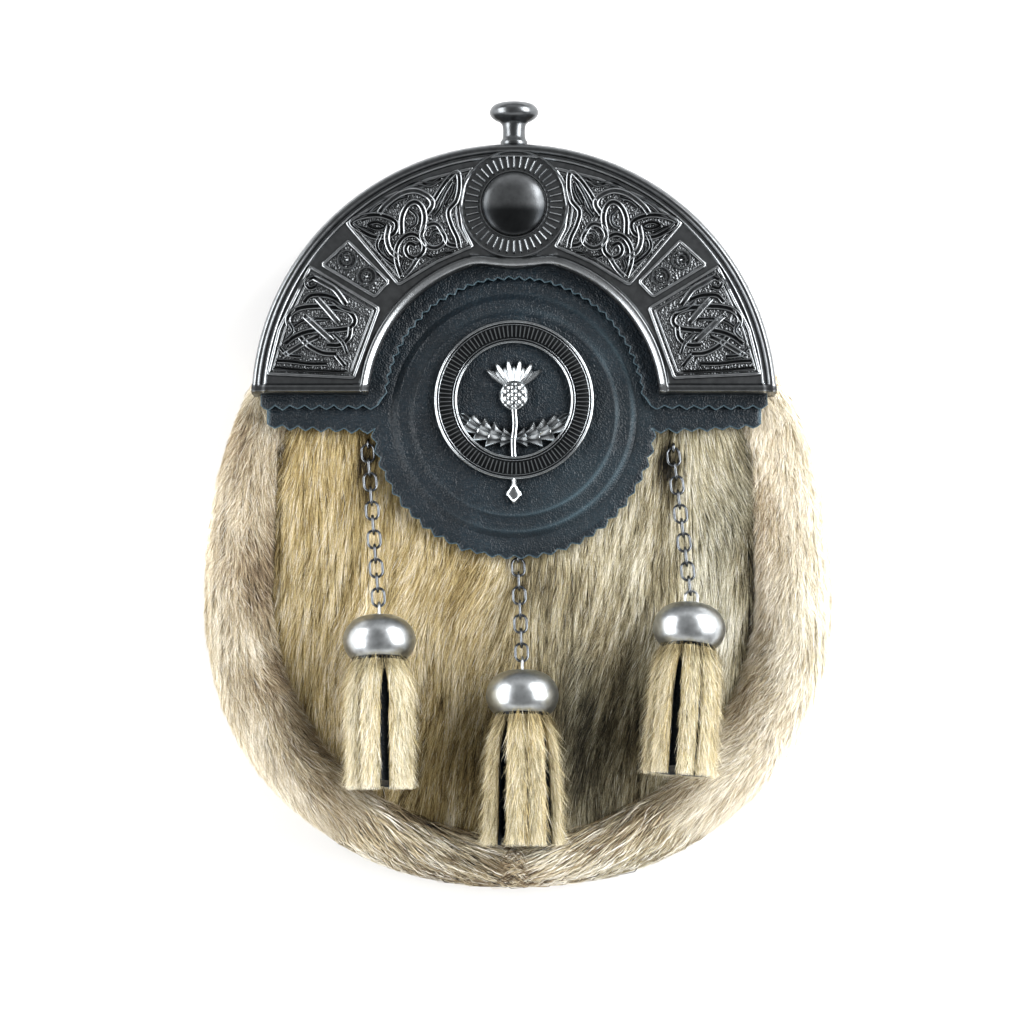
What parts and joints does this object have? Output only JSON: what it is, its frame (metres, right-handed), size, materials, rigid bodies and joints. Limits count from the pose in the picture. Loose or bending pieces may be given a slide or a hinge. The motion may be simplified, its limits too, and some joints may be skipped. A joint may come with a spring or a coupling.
{
  "type": "sporran pouch",
  "caption": "Fur-covered dress sporran pouch with a relief cantle, a pinked leather flap with a round badge, and fur tassels hung on chains from metal cups.",
  "frame": {"origin": "centre of the bounding box at its bottom, on the surface that the pouch lies on with its front up", "axes": "+Y from the pouch's bottom to the knob, +Z out of its front, +X to the right as seen from the front"},
  "size_m": [0.1948, 0.2496, 0.0618],
  "materials": {
    "fur": "fur-on hide, straight hair from cream and golden tan to grey-brown",
    "black_leather": "black leather with a fine grain, satin",
    "antique_pewter": "dark antiqued cast metal, polished on the high edges",
    "satin_pewter": "satin turned metal",
    "bright_pewter": "polished cast metal and steel wire, dark in the recesses"
  },
  "bodies": {
    "root": {"back_panel": "black_leather", "badge": "bright_pewter", "belt_loop_left": "black_leather", "belt_loop_right": "black_leather", "cantle": "antique_pewter", "cantle_boss": "antique_pewter", "chain_staple_centre": "bright_pewter", "chain_staple_left": "bright_pewter", "chain_staple_right": "bright_pewter", "front_hide": "fur", "gusset": "fur", "knob": "antique_pewter", "leather_backing": "black_leather", "leather_flap": "black_leather", "link_centre_01": "bright_pewter", "link_centre_02": "bright_pewter", "link_centre_03": "bright_pewter", "link_centre_04": "bright_pewter", "link_centre_05": "bright_pewter", "link_centre_06": "bright_pewter", "link_centre_07": "bright_pewter", "link_left_01": "bright_pewter", "link_left_02": "bright_pewter", "link_left_03": "bright_pewter", "link_left_04": "bright_pewter", "link_left_05": "bright_pewter", "link_left_06": "bright_pewter", "link_left_07": "bright_pewter", "link_left_08": "bright_pewter", "link_left_09": "bright_pewter", "link_left_10": "bright_pewter", "link_left_11": "bright_pewter", "link_right_01": "bright_pewter", "link_right_02": "bright_pewter", "link_right_03": "bright_pewter", "link_right_04": "bright_pewter", "link_right_05": "bright_pewter", "link_right_06": "bright_pewter", "link_right_07": "bright_pewter", "link_right_08": "bright_pewter", "link_right_09": "bright_pewter", "link_right_10": "bright_pewter", "tassel_centre": "fur", "tassel_cup_centre": "satin_pewter", "tassel_cup_left": "satin_pewter", "tassel_cup_right": "satin_pewter", "tassel_left": "fur", "tassel_right": "fur"}
  },
  "joints": []
}
